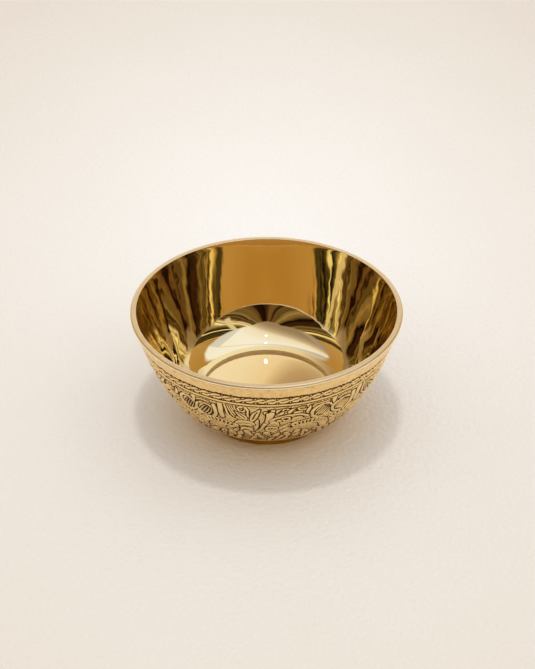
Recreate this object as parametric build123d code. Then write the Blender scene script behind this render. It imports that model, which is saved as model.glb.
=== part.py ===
from build123d import *
import os
from math import acos, atan2, cos, degrees, hypot, radians, sin, tan

# A footed offering bowl of brass, brazed together from four turned pieces.
# Millimetres and degrees. The origin is on the table under the middle of the foot, +Z is up.

# Overall sizes
rim_radius = 57.0
bowl_height = 51.8

# Lip: a half-round hoop on the wall's top edge
lip_width = 2.43
lip_height = 1.6
lip_edge_round = 0.4
tongue_width = 0.9
tongue_height = 0.7

# Wall, outside: a straight flare, a gently bent belly and a tight shoulder, turned in to a flat flange
outer_flare_length = 17.3
outer_belly_radius = 77.5
shoulder_radius = 9.1
flange_width = 4.1
flange_thickness = 1.5

# Wall, inside: a flare, a belly of two bends, and a round cove down to a narrow ledge above the floor
inner_flare_length = 5.1
inner_upper_radius = 182.0
inner_upper_turn = 7.7
inner_belly_radius = 48.0
cove_radius = 17.0
ledge_width = 1.0
ledge_slope = 7.4

# Turned grooves that border the engraved bands, as distances down the wall from the rim
band_groove_drop = 7.4
frieze_groove_drop = 11.5
field_groove_drop = 13.8
groove_radius = 0.4

# Floor: a plate under the flange, with a low boss that fills the opening
opening_radius = 28.1
floor_step = 1.3
plate_thickness = 1.73
plate_lap = 2.4

# Foot: a slightly flared ring round a shallow boss under the plate
foot_height = 6.55
foot_wall = 3.0
foot_inset = 3.5
foot_flare = 0.5
foot_edge_round = 0.4
foot_boss_depth = 0.8

# Brazed fits: the film between flat faces, the gap round a boss or tongue, and the outer fillets
film = 0.1
boss_gap = 0.15
floor_fillet = 0.9
foot_fillet = 0.8

# Heights of the stacked pieces
plate_bottom = foot_height + film
plate_top = plate_bottom + plate_thickness
flange_bottom = plate_top + film
flange_top = flange_bottom + flange_thickness
floor_top = flange_top - floor_step
lip_bottom = bowl_height - lip_height
wall_top = lip_bottom - film

# Radii of the stacked pieces
rim_inner = rim_radius - lip_width
floor_boss_radius = opening_radius - boss_gap
plate_radius = opening_radius + plate_lap
shoulder_center = opening_radius + flange_width
foot_top_radius = plate_radius - foot_inset
foot_bottom_radius = foot_top_radius + foot_flare
foot_bore = foot_top_radius - foot_wall
foot_boss_radius = foot_bore - boss_gap


def on_circle(center, radius, angle):
    """The point of a circle at an angle in radians."""
    return (center[0] + radius * cos(angle), center[1] + radius * sin(angle))


def turned(*edges):
    """A closed section, drawn as (radius, height), turned about the bowl's axis."""
    return revolve(Plane.XZ * make_face(Curve() + list(edges)), Axis.Z)


def turned_polygon(points):
    """A straight-sided section turned about the bowl's axis."""
    return turned(Polyline(points, close=True))


def flare_slope(corner, flare_length, upper_radius, upper_turn, belly_radius, end_point, end_radius):
    """Slope of a flare from a corner that runs, all tangent, through two bends into an end arc."""
    reach = (corner[0] - end_point[0], corner[1] - end_point[1])
    reach_length = hypot(*reach)
    along = flare_length + (upper_radius - belly_radius) * sin(upper_turn)
    across = upper_radius - (upper_radius - belly_radius) * cos(upper_turn)
    swing = hypot(along, across)
    arc_offset = belly_radius - end_radius
    swing_angle = acos((reach_length**2 + swing**2 - arc_offset**2) / (2 * swing * reach_length))
    return atan2(reach[1], reach[0]) - swing_angle + atan2(across, along)


def down_the_flare(corner, slope, distance):
    """The point of a flare at a distance down from its top corner."""
    return (corner[0] - distance * cos(slope), corner[1] - distance * sin(slope))


def turn_between(start_point, end_point):
    """Angle in radians of the line from one point to another."""
    return atan2(end_point[1] - start_point[1], end_point[0] - start_point[0])


level = radians(-90)

# Outer face of the wall. The flare's line passes through the rim's outer top corner.
outer_corner = (rim_radius, bowl_height)
shoulder_point = (shoulder_center, flange_bottom + shoulder_radius)
outer_slope = flare_slope(
    outer_corner,
    outer_flare_length,
    outer_belly_radius,
    0,
    outer_belly_radius,
    shoulder_point,
    shoulder_radius,
)
outer_flare_end = down_the_flare(outer_corner, outer_slope, outer_flare_length)
outer_belly_point = on_circle(outer_flare_end, outer_belly_radius, outer_slope - level)
outer_belly_turn = turn_between(outer_belly_point, shoulder_point)
wall_top_outer = down_the_flare(outer_corner, outer_slope, (bowl_height - wall_top) / sin(outer_slope))

# Inner face of the wall. The flare's line passes through the rim's inner top corner.
inner_corner = (rim_inner, bowl_height)
ledge_inner = (opening_radius, flange_top)
ledge_turn = level + radians(ledge_slope)
ledge_outer = on_circle(ledge_inner, ledge_width, radians(ledge_slope))
cove_point = on_circle(ledge_outer, -cove_radius, ledge_turn)
inner_slope = flare_slope(
    inner_corner,
    inner_flare_length,
    inner_upper_radius,
    radians(inner_upper_turn),
    inner_belly_radius,
    cove_point,
    cove_radius,
)
inner_middle_slope = inner_slope - radians(inner_upper_turn)
inner_flare_end = down_the_flare(inner_corner, inner_slope, inner_flare_length)
inner_upper_point = on_circle(inner_flare_end, inner_upper_radius, inner_slope - level)
inner_belly_point = on_circle(
    inner_upper_point, inner_upper_radius - inner_belly_radius, inner_middle_slope + level
)
inner_belly_turn = turn_between(inner_belly_point, cove_point)


def inner_radius(height):
    """Radius of the inner flare at a height."""
    return rim_inner - (bowl_height - height) / tan(inner_slope)


wall_top_inner = (inner_radius(wall_top), wall_top)
tongue_middle = (wall_top_inner[0] + wall_top_outer[0]) / 2
tongue_inner = tongue_middle - tongue_width / 2
tongue_outer = tongue_middle + tongue_width / 2
tongue_top = wall_top + tongue_height


def belly_arc(center, radius, slope, turn):
    """The arc from the foot of a flare, at the flare's slope, down to the turn of the next arc."""
    return CenterArc(center, radius, degrees(turn), degrees(slope + level - turn))


def make_wall_shell():
    """The flared wall with a tongue on its top edge and grooves turned into its outer face."""
    wall = turned(
        Polyline(
            [
                wall_top_outer,
                (tongue_outer, wall_top),
                (tongue_outer, tongue_top),
                (tongue_inner, tongue_top),
                (tongue_inner, wall_top),
                wall_top_inner,
                inner_flare_end,
            ]
        ),
        belly_arc(inner_upper_point, inner_upper_radius, inner_slope, inner_middle_slope + level),
        belly_arc(inner_belly_point, inner_belly_radius, inner_middle_slope, inner_belly_turn),
        CenterArc(cove_point, cove_radius, degrees(ledge_turn), degrees(inner_belly_turn - ledge_turn)),
        Polyline(
            [
                ledge_outer,
                ledge_inner,
                (opening_radius, flange_bottom),
                (shoulder_center, flange_bottom),
            ]
        ),
        CenterArc(shoulder_point, shoulder_radius, -90, degrees(outer_belly_turn - level)),
        belly_arc(outer_belly_point, outer_belly_radius, outer_slope, outer_belly_turn),
        Line(outer_flare_end, wall_top_outer),
    )
    for drop in (band_groove_drop, frieze_groove_drop, field_groove_drop):
        groove_center = down_the_flare(outer_corner, outer_slope, drop)
        wall -= turned(CenterArc(groove_center, groove_radius, 0, 360))
    return wall


def make_lip_ring():
    """A hoop, half-round outside, level with the wall inside, grooved underneath for the tongue."""
    round_radius = lip_height / 2
    round_start = rim_radius - round_radius
    section = make_face(
        Curve()
        + [
            Polyline(
                [
                    (round_start, lip_bottom),
                    (inner_radius(lip_bottom), lip_bottom),
                    (rim_inner, bowl_height),
                    (round_start, bowl_height),
                ]
            ),
            CenterArc((round_start, bowl_height - round_radius), round_radius, -90, 180),
        ]
    )
    inner_edge = section.vertices().group_by(Axis.Y)[-1].sort_by(Axis.X)[0]
    section = fillet(inner_edge, lip_edge_round)
    hoop = revolve(Plane.XZ * section, Axis.Z)
    groove = turned_polygon(
        [
            (tongue_inner - film, lip_bottom),
            (tongue_outer + film, lip_bottom),
            (tongue_outer + film, tongue_top + film),
            (tongue_inner - film, tongue_top + film),
        ]
    )
    return hoop - groove


def make_lip_braze():
    """The film that fills the joint between lip and wall and runs over the tongue."""
    film_outer = rim_radius - lip_height / 2
    return turned_polygon(
        [
            wall_top_inner,
            (tongue_inner, wall_top),
            (tongue_inner, tongue_top),
            (tongue_outer, tongue_top),
            (tongue_outer, wall_top),
            (film_outer, wall_top),
            (film_outer, lip_bottom),
            (tongue_outer + film, lip_bottom),
            (tongue_outer + film, tongue_top + film),
            (tongue_inner - film, tongue_top + film),
            (tongue_inner - film, lip_bottom),
            (inner_radius(lip_bottom), lip_bottom),
        ]
    )


def make_floor_disc():
    """The plate under the flange, with the floor's boss above and the foot's boss below."""
    foot_boss_bottom = plate_bottom - foot_boss_depth
    return turned_polygon(
        [
            (0, foot_boss_bottom),
            (foot_boss_radius, foot_boss_bottom),
            (foot_boss_radius, plate_bottom),
            (plate_radius, plate_bottom),
            (plate_radius, plate_top),
            (floor_boss_radius, plate_top),
            (floor_boss_radius, floor_top),
            (0, floor_top),
        ]
    )


def make_floor_braze():
    """The film between plate and flange, round the floor's boss, with a fillet at the plate's edge."""
    return turned_polygon(
        [
            (floor_boss_radius, plate_top),
            (plate_radius, plate_top),
            (plate_radius, flange_bottom - floor_fillet),
            (plate_radius + floor_fillet, flange_bottom),
            (opening_radius, flange_bottom),
            (opening_radius, floor_top),
            (floor_boss_radius, floor_top),
        ]
    )


def make_foot_ring():
    """The ring that the bowl stands on, with both bottom edges eased."""
    section = make_face(
        Polyline(
            [
                (foot_bore, 0),
                (foot_bottom_radius, 0),
                (foot_top_radius, foot_height),
                (foot_bore, foot_height),
            ],
            close=True,
        )
    )
    section = fillet(section.vertices().group_by(Axis.Y)[0], foot_edge_round)
    return revolve(Plane.XZ * section, Axis.Z)


def make_foot_braze():
    """The film between foot and plate, round the foot's boss, with a fillet outside the foot."""
    foot_boss_bottom = plate_bottom - foot_boss_depth
    fillet_foot = foot_top_radius + foot_flare * foot_fillet / foot_height
    return turned_polygon(
        [
            (foot_boss_radius, foot_boss_bottom),
            (foot_bore, foot_boss_bottom),
            (foot_bore, foot_height),
            (foot_top_radius, foot_height),
            (fillet_foot, foot_height - foot_fillet),
            (foot_top_radius + foot_fillet, plate_bottom),
            (foot_boss_radius, plate_bottom),
        ]
    )


pieces = {
    "wall_shell": make_wall_shell,
    "lip_ring": make_lip_ring,
    "floor_disc": make_floor_disc,
    "foot_ring": make_foot_ring,
    "lip_braze": make_lip_braze,
    "floor_braze": make_floor_braze,
    "foot_braze": make_foot_braze,
}

os.makedirs("parts", exist_ok=True)
for node, make_piece in pieces.items():
    export_step(make_piece(), f"parts/{node}.step")
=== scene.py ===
# %% [markdown]
# # A brass offering bowl
# The bowl is turned brass: mirror-bright inside, engraved outside, on a low foot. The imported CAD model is
# the frame: it fixes every size, and this script dresses it. The pieces that show are worked out again as
# fine surfaces, because a mirror shows every flat of a coarse mesh, and because the engraving is real
# relief and not a picture of one.

# %% Load the frame
import math

import bpy
import numpy as np
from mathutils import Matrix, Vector


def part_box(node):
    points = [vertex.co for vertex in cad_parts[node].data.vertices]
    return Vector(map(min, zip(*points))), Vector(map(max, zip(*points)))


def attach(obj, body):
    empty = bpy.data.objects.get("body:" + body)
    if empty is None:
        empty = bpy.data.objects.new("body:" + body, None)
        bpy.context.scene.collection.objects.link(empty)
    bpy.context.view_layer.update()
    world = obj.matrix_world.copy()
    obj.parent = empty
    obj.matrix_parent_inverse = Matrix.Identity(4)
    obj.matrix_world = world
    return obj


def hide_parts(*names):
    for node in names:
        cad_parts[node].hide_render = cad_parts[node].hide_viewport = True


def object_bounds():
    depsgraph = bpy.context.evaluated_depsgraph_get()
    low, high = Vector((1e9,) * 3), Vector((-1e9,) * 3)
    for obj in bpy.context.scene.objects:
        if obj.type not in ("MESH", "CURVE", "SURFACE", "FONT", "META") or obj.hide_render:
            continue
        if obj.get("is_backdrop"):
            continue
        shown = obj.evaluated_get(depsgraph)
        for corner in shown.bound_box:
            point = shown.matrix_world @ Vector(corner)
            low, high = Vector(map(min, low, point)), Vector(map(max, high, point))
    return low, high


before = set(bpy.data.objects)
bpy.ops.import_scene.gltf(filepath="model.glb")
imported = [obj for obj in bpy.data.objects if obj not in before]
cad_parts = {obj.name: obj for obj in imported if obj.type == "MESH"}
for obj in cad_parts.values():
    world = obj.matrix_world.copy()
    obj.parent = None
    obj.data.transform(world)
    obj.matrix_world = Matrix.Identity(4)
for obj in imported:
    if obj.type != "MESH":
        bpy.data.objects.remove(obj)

MM = 0.001
cad_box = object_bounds()
print("CAD box in mm:", [[round(v / MM, 2) for v in corner] for corner in cad_box])

# %% [markdown]
# ## Sizes
# The frame's boxes give the outer sizes. The bends of the wall can't be read from a box, so the few
# lengths and radii that shape it are named here, in millimetres, and the rest follows from them.

# %% Sizes from the frame
lip_low, lip_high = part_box("lip_ring")
wall_low, wall_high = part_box("wall_shell")
plate_low, plate_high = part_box("floor_disc")
foot_low, foot_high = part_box("foot_ring")

rim_radius = lip_high.x / MM
bowl_height = lip_high.z / MM
lip_bottom = lip_low.z / MM
flange_bottom = wall_low.z / MM
floor_top = plate_high.z / MM
plate_radius = plate_high.x / MM
boss_bottom = plate_low.z / MM
foot_height = foot_high.z / MM
print(f"rim radius {rim_radius:.2f}, height {bowl_height:.2f}, foot height {foot_height:.2f} mm")

# %% Sizes of the wall and its fits
film = 0.1
lip_width = 2.43
rim_inner = rim_radius - lip_width
wall_top = lip_bottom - film

outer_flare_length = 17.3
outer_belly_radius = 77.5
shoulder_radius = 9.1
inner_flare_length = 5.1
inner_upper_radius = 182.0
inner_upper_turn = math.radians(7.7)
inner_belly_radius = 48.0
cove_radius = 17.0

opening_radius = 28.1
ledge_width = 1.0
ledge_slope = math.radians(7.4)
flange_width = 4.1
flange_thickness = 1.5
flange_top = flange_bottom + flange_thickness
print(f"inside of the rim {rim_inner:.2f}, top of the wall {wall_top:.2f} mm")

# %% [markdown]
# ## The two faces of the wall
# Each face of the wall runs from the rim as a straight flare, bends in the belly and ends in a tighter
# arc, all tangent. One formula serves both faces: a place on a face is its distance down from the rim, so
# that relief can later be laid on in millimetres of real surface.


# %% A face as a function of the distance down from the rim
def inward(slope):
    """The direction square to a face of that slope, towards the centers of its bends."""
    return np.array([-math.sin(slope), math.cos(slope)])


def wall_face(corner, flare_length, upper_bend, belly_radius, end_center, end_radius, end_slope):
    """A face made of a flare, an upper bend (radius, turn), a belly arc and an end arc. The flare's slope
    closes the chain: seen from the corner, the belly's center lies at the end of a swing arm, and the law
    of cosines sets the arm so that the belly touches the end arc. Returns the distances at which the bends
    start and end, and a function from distance to radius, height and slope."""
    upper_radius, upper_turn = upper_bend
    along = flare_length + (upper_radius - belly_radius) * math.sin(upper_turn)
    across = upper_radius - (upper_radius - belly_radius) * math.cos(upper_turn)
    swing = math.hypot(along, across)
    reach = np.subtract(corner, end_center)
    reach_length = np.hypot(*reach)
    arc_offset = belly_radius - end_radius
    spread = math.acos((reach_length**2 + swing**2 - arc_offset**2) / (2 * swing * reach_length))
    slope = math.atan2(reach[1], reach[0]) - spread + math.atan2(across, along)
    middle_slope = slope - upper_turn

    flare_end = np.subtract(corner, [flare_length * math.cos(slope), flare_length * math.sin(slope)])
    upper_center = flare_end + upper_radius * inward(slope)
    belly_center = upper_center - (upper_radius - belly_radius) * inward(middle_slope)
    link = np.subtract(end_center, belly_center)
    belly_slope = math.atan2(link[1], link[0]) + math.pi / 2
    bends = [
        (upper_center, upper_radius, slope, middle_slope),
        (belly_center, belly_radius, middle_slope, belly_slope),
        (end_center, end_radius, belly_slope, end_slope),
    ]
    marks = flare_length + np.cumsum([0] + [radius * (first - last) for _, radius, first, last in bends])

    def place(distance):
        """Radius, height and slope: straight down the flare, round each bend's center, then straight on."""
        distance = np.asarray(distance, float)
        radius = corner[0] - distance * math.cos(slope)
        height = corner[1] - distance * math.sin(slope)
        tilt = np.full(distance.shape, slope)
        for start, (center, bend, first, last) in zip(marks, bends):
            angle = np.maximum(first - (distance - start) / bend, last)
            beyond = np.maximum(distance - start - bend * (first - last), 0)
            on_bend = distance >= start
            radius = np.where(on_bend, center[0] + bend * np.sin(angle) - beyond * math.cos(last), radius)
            height = np.where(on_bend, center[1] - bend * np.cos(angle) - beyond * math.sin(last), height)
            tilt = np.where(on_bend, angle, tilt)
        return radius, height, tilt

    return marks, place


shoulder_center = (opening_radius + flange_width, flange_bottom + shoulder_radius)
outer_marks, outer_face = wall_face(
    (rim_radius, bowl_height), outer_flare_length, (outer_belly_radius, 0.0), outer_belly_radius,
    shoulder_center, shoulder_radius, 0.0)
ledge_direction = np.array([math.cos(ledge_slope), math.sin(ledge_slope)])
ledge_outer = np.array([opening_radius, flange_top]) + ledge_width * ledge_direction
inner_marks, inner_face = wall_face(
    (rim_inner, bowl_height), inner_flare_length, (inner_upper_radius, inner_upper_turn), inner_belly_radius,
    ledge_outer + cove_radius * inward(ledge_slope), cove_radius, ledge_slope)
outer_length = outer_marks[-1]
inner_length = inner_marks[-1] + ledge_width
print(f"outer face {outer_length:.1f} mm long, inner face {inner_length:.1f} mm long")


# %% [markdown]
# ## From arrays to meshes
# Every piece below is a grid of points. A ring is a closed section carried round the axis, where the
# section may change with the angle. Azimuth 0 faces the viewer and grows to the right. Each mesh gets an
# unwrapping of its own, so that its finish can be baked when the bowl is exported.


# %% Mesh helpers
def new_piece(name, points, polygons, corner_uv, flat=()):
    """A mesh object from points in millimetres and several arrays of polygons, one array per corner count.
    Polygon arrays whose place is in flat are shaded flat, the others smoothly."""
    mesh = bpy.data.meshes.new(name)
    corners = np.concatenate([p.ravel() for p in polygons])
    sizes = np.concatenate([np.full(len(p), p.shape[1]) for p in polygons])
    smooth = np.concatenate([np.full(len(p), k not in flat) for k, p in enumerate(polygons)])
    starts = np.concatenate([[0], np.cumsum(sizes)[:-1]])
    mesh.vertices.add(len(points))
    mesh.vertices.foreach_set("co", (points * MM).ravel())
    mesh.loops.add(len(corners))
    mesh.loops.foreach_set("vertex_index", corners.astype(np.int32))
    mesh.polygons.add(len(sizes))
    mesh.polygons.foreach_set("loop_start", starts.astype(np.int32))
    mesh.polygons.foreach_set("use_smooth", smooth)
    layer = mesh.uv_layers.new(name="OFBake")
    layer.uv.foreach_set("vector", np.concatenate([u.reshape(-1, 2) for u in corner_uv]).ravel())
    mesh.update(calc_edges=True)
    piece = bpy.data.objects.new(name, mesh)
    bpy.context.collection.objects.link(piece)
    return piece


def carry_round(name, radius, height, sharp_angle=35):
    """A ring: closed sections of shape (angles, section points) joined along and across. Angle k of N is at
    2 pi k / N. A section runs so that its material lies to its right, which turns the faces outwards."""
    count, length = radius.shape
    angle = np.linspace(0, 2 * np.pi, count, endpoint=False)[:, None]
    points = np.stack([radius * np.sin(angle), -radius * np.cos(angle), height], -1).reshape(-1, 3)
    k, j = np.meshgrid(np.arange(count), np.arange(length), indexing="ij")
    corner_k = np.stack([k, k, k + 1, k + 1], -1).reshape(-1, 4)
    corner_j = np.stack([j, j + 1, j + 1, j], -1).reshape(-1, 4)
    quads = (corner_k % count) * length + corner_j % length
    uv = np.stack([corner_k / count, corner_j / length], -1)
    piece = new_piece(name, points, [quads], [uv])
    piece.data.set_sharp_from_angle(angle=math.radians(sharp_angle))
    return piece


def turned(name, section, count=512, sharp_angle=35):
    """A turned piece: the same closed section, as (radius, height) points, at every angle."""
    section = np.asarray(section, float)
    radius, height = (np.repeat(section[None, :, k], count, 0) for k in (0, 1))
    return carry_round(name, radius, height, sharp_angle)


def turned_solid(name, section, count=360, sharp_angle=35):
    """A turned piece without a bore: the section starts on the axis above and ends on it below, and both
    ends are single points that all angles share."""
    section = np.asarray(section, float)
    body, length = section[1:-1], len(section) - 2
    angle = np.linspace(0, 2 * np.pi, count, endpoint=False)[:, None]
    rings = np.stack([body[:, 0] * np.sin(angle), -body[:, 0] * np.cos(angle), body[:, 1] + 0 * angle], -1)
    poles = [[0, 0, section[0, 1]], [0, 0, section[-1, 1]]]
    k = np.arange(count)
    after = (k + 1) % count
    top = np.stack([np.full(count, count * length), k * length, after * length], -1)
    bottom = np.stack([np.full(count, count * length + 1), (after + 1) * length - 1,
                       (k + 1) * length - 1], -1)
    k, j = np.meshgrid(k, np.arange(length - 1), indexing="ij")
    corner_k = np.stack([k, k, k + 1, k + 1], -1).reshape(-1, 4)
    corner_j = np.stack([j, j + 1, j + 1, j], -1).reshape(-1, 4)
    quads = (corner_k % count) * length + corner_j
    flat_round = np.stack([np.sin(angle[:, 0]), np.cos(angle[:, 0])], -1)
    reach = np.linspace(0.05, 0.24, length)
    disc = (flat_round[:, None] * reach[:, None] + [0.25, 0.75]).reshape(-1, 2)
    disc = np.concatenate([disc, [[0.25, 0.75], [0.75, 0.25]]])
    cap = flat_round * 0.24 + [0.75, 0.25]
    cap_uv = np.stack([np.full((count, 2), [0.75, 0.25]), np.roll(cap, -1, 0), cap], 1)
    piece = new_piece(name, np.concatenate([rings.reshape(-1, 3), poles]), [top, quads, bottom],
                      [disc[top], disc[quads], cap_uv])
    piece.data.set_sharp_from_angle(angle=math.radians(sharp_angle))
    return piece


def arc(center, radius, start, end, count):
    """Points of a circle between two angles in degrees."""
    angle = np.radians(np.linspace(start, end, count))
    return np.stack([center[0] + radius * np.cos(angle), center[1] + radius * np.sin(angle)], -1)


# %% [markdown]
# ## The wall
# The wall's inside is the mirror that most of the picture shows, so its section has a point every half
# millimetre where it bends. Outside, the section is set back about 1 mm all the way down: the plain band, the
# engraved pieces and the shoulder below are laid into that step, because they have another finish.

# %% Wall
field_top = 14.2
field_bottom = 46.0
pocket_depth = 0.95
inlay_back = 0.05 - pocket_depth


def on_outside(distance, lift=0.0):
    """Section points on the outer face, lifted along the outward normal, as (radius, height)."""
    radius, height, tilt = outer_face(distance)
    return np.stack([radius + lift * np.sin(tilt), height - lift * np.cos(tilt)], -1)


def on_inside(distance):
    """Section points on the inner face, as (radius, height)."""
    radius, height, tilt = inner_face(distance)
    return np.stack([radius, height], -1)


def distance_at(face_place, height):
    """Distance down a face's flare at which it reaches a height."""
    slope = face_place(0.0)[2]
    return (bowl_height - height) / math.sin(slope)


bend_points = (4, 8, 40, 16, 46, 4)
inner_stops = np.concatenate([[distance_at(inner_face, wall_top)], inner_marks, [inner_length]])
inner_steps = np.concatenate([
    np.linspace(low, high, points, endpoint=False)
    for low, high, points in zip(inner_stops[:-1], inner_stops[1:], bend_points)])
band_top = distance_at(outer_face, wall_top)
wall_section = np.concatenate([
    [[opening_radius, flange_top]],
    on_inside(inner_steps[::-1]),
    on_outside(np.linspace(band_top, outer_length, 50), -pocket_depth),
    [[opening_radius, flange_bottom]],
])
wall_body = turned("wall_body", wall_section, count=600)
print("wall:", len(wall_body.data.polygons), "faces")

# %% [markdown]
# ## Lip, floor and foot
# The lip is a half-round hoop brazed on the wall's edge. The floor is a flat plate whose boss fills the
# opening in the wall's bottom, a little below the wall's ledge. The foot is a plain ring.

# %% Lip
lip_round = (bowl_height - lip_bottom) / 2
lip_edge_round = 0.2
lip_starts_at = -62
inner_slope = float(inner_face(0.0)[2])
lip_inner_bottom = float(inner_face(distance_at(inner_face, lip_bottom))[0])
lip_edge_center = rim_inner + lip_edge_round * math.tan(inner_slope / 2)
lip_section = np.concatenate([
    arc((rim_radius - lip_round, bowl_height - lip_round), lip_round, lip_starts_at, 90, 21),
    arc((lip_edge_center, bowl_height - lip_edge_round), lip_edge_round,
        90, 90 + math.degrees(inner_slope), 13),
    [[lip_inner_bottom, lip_bottom]],
])
lip_hoop = turned("lip_hoop", lip_section[::-1], count=720)
print("lip:", len(lip_hoop.data.polygons), "faces")

# %% Floor and foot
boss_gap = 0.15
plate_top = flange_bottom - film
plate_bottom = foot_height + film
floor_edge = opening_radius - boss_gap
foot_inset = 3.5
foot_width = 3.0
foot_flare = 0.5
foot_bottom_radius = plate_radius - foot_inset + foot_flare
foot_bore = foot_bottom_radius - foot_flare - foot_width
foot_edge_round = 0.4

floor_section = [[floor_edge * share, floor_top] for share in (0, 0.25, 0.5, 0.75, 1)] + [
    [floor_edge, plate_top],
    [plate_radius, plate_top], [plate_radius, plate_bottom], [foot_bore - boss_gap, plate_bottom],
    [foot_bore - boss_gap, boss_bottom], [0, boss_bottom],
]
floor_plate = turned_solid("floor_plate", floor_section)
foot_section = np.concatenate([
    [[foot_bore, foot_height], [foot_bottom_radius - foot_flare, foot_height]],
    arc((foot_bottom_radius - foot_edge_round, foot_edge_round), foot_edge_round, 0, -90, 7),
    arc((foot_bore + foot_edge_round, foot_edge_round), foot_edge_round, -90, -180, 7),
])
foot_hoop = turned("foot_hoop", foot_section, count=360)
print("floor:", len(floor_plate.data.polygons), "faces, foot:", len(foot_hoop.data.polygons), "faces")

# %% [markdown]
# ## Drawing in relief
# An engraver first cuts a line round each shape, then sinks the ground between the shapes with a punch
# and rounds the edges that are left standing. The helpers below do the same on a sheet of heights: each
# stroke follows a curve, has a width that can swell and taper, stands up as a rounded crown, and is
# bordered by a cut line. A later stroke lies over an earlier one. Heights are measured from the wall's
# smooth face, so the cut ground is negative.

# %% Levels and curves
ground_level = -0.16
cut_level = -0.5
crown_level = 0.0
engraving_radius = 48.0
degree = math.radians(1) * engraving_radius


def smooth_step(low, high, value):
    """0 below low, 1 above high, and an S-shaped ramp between them."""
    t = np.clip((value - low) / (high - low), 0, 1)
    return t * t * (3 - 2 * t)


def curve_through(places, samples=9):
    """A smooth curve through a few places (azimuth in degrees, millimetres down the wall), as points in
    millimetres. Between two places it is the cubic with the neighbours' chord as its tangent."""
    p = np.asarray(places, float) * [degree, 1]
    if len(p) == 2:
        return p[0] + (p[1] - p[0]) * np.linspace(0, 1, samples)[:, None]
    p = np.concatenate([[2 * p[0] - p[1]], p, [2 * p[-1] - p[-2]]])
    t = np.linspace(0, 1, samples, endpoint=False)[:, None, None]
    a, b, c, d = p[:-3], p[1:-2], p[2:-1], p[3:]
    cubic = (2 * b + (c - a) * t + (2 * a - 5 * b + 4 * c - d) * t**2 + (3 * b - a - 3 * c + d) * t**3) / 2
    return np.concatenate([cubic.transpose(1, 0, 2).reshape(-1, 2), p[-2:-1]])


# %% Where a shape lies on a sheet
def parts_near(sheet, points, margin):
    """Where a shape touches a sheet: yields rows and columns, and the shape's points moved there. The
    ornament repeats, so the shape also counts one period to the left and one to the right."""
    for turn in (-sheet["period"], 0, sheet["period"]):
        moved = points + [turn, 0]
        low, high = moved.min(0) - margin, moved.max(0) + margin
        columns = np.flatnonzero((sheet["x"].max(0) >= low[0]) & (sheet["x"].min(0) <= high[0]))
        rows = np.flatnonzero((sheet["y"].max(1) >= low[1]) & (sheet["y"].min(1) <= high[1]))
        if len(columns) and len(rows):
            yield (slice(rows[0], rows[-1] + 1), slice(columns[0], columns[-1] + 1)), moved


def along_curve(curve, x, y):
    """Distance of each point to a chain of straight pieces, and the share of its length passed there."""
    start, step = curve[:-1], np.diff(curve, axis=0)
    length = np.maximum(np.hypot(step[:, 0], step[:, 1]), 1e-6)
    gap_x, gap_y = x[..., None] - start[:, 0], y[..., None] - start[:, 1]
    t = np.clip((gap_x * step[:, 0] + gap_y * step[:, 1]) / length**2, 0, 1)
    away = np.hypot(gap_x - t * step[:, 0], gap_y - t * step[:, 1])
    nearest = away.argmin(-1)[..., None]
    passed = np.concatenate([[0], np.cumsum(length)])
    share = (passed[nearest] + np.take_along_axis(t, nearest, -1) * length[nearest]) / passed[-1]
    return np.take_along_axis(away, nearest, -1)[..., 0], share[..., 0]


# %% Strokes
def sunk(height, share):
    """Heights lowered to the depth of a cut, by a share from 0 to 1. Lower places stay as they are."""
    return height + (np.minimum(height, cut_level) - height) * share


def lay(height, edge, crown, line=0.25):
    """Lays a shape over a sheet. edge is the distance outside the shape's border: the crown shows where it
    is negative, and just outside it a cut line sinks what was there."""
    inside = smooth_step(0.10, -0.12, edge)
    cut = np.exp(-((edge - line * 0.8) / line) ** 2) * (edge > -0.1)
    ground = sunk(height, cut)
    return ground + (crown - ground) * inside


def stroke(sheet, curve, half_width, crown=crown_level, roundness=0.07, line=0.25, taper=None, slots=0):
    """Raises a stroke along a curve. taper turns the share of its length into a share of the width. slots
    cuts that many windows across it, as in a ladder."""
    for area, moved in parts_near(sheet, curve, half_width + 3 * line):
        away, share = along_curve(moved, sheet["x"][area], sheet["y"][area])
        width = half_width * (taper(share) if taper else 1.0)
        across = away / np.maximum(width, 0.05)
        top = crown - roundness * np.clip(across, 0, 1.2) ** 2
        if slots:
            beat = np.abs((share * slots) % 1 - 0.5) * 2
            slot = smooth_step(0.55, 0.35, beat) * smooth_step(0.8, 0.6, across)
            top = top + (cut_level - top) * slot
        sheet["height"][area] = lay(sheet["height"][area], away - width, top, line)


def stem(sheet, places, half_width, **finish):
    """A stroke along the smooth curve through a few places."""
    stroke(sheet, curve_through(places), half_width, **finish)


# %% Leaves, rings and holes
def leaf_taper(share):
    """A leaf: full near a third of its length, pointed at both ends."""
    return np.sin(np.pi * np.clip(share, 0, 1) ** 0.75) ** 0.8


def drop_taper(share):
    """A drop: a point that swells to a round end."""
    return 0.25 + 0.75 * np.clip(share, 0, 1) ** 0.8


def tail_taper(share):
    """A tendril: full at its root and thin at its tip."""
    return 1 - 0.6 * np.clip(share, 0, 1)


def cut_line(sheet, curve, half_width):
    """Cuts a line along a curve, with soft shoulders."""
    for area, moved in parts_near(sheet, curve, 3 * half_width):
        away, _ = along_curve(moved, sheet["x"][area], sheet["y"][area])
        sheet["height"][area] = sunk(sheet["height"][area], np.exp(-((away / half_width) ** 2)))


def drill(sheet, center, radius):
    """A drilled hole with a soft edge."""
    middle = np.multiply([center], [degree, 1])
    for area, moved in parts_near(sheet, middle, radius * 2):
        away = np.hypot(sheet["x"][area] - moved[0, 0], sheet["y"][area] - moved[0, 1])
        hole = smooth_step(radius * 1.25, radius * 0.6, away)
        sheet["height"][area] = sunk(sheet["height"][area], hole)


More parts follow.
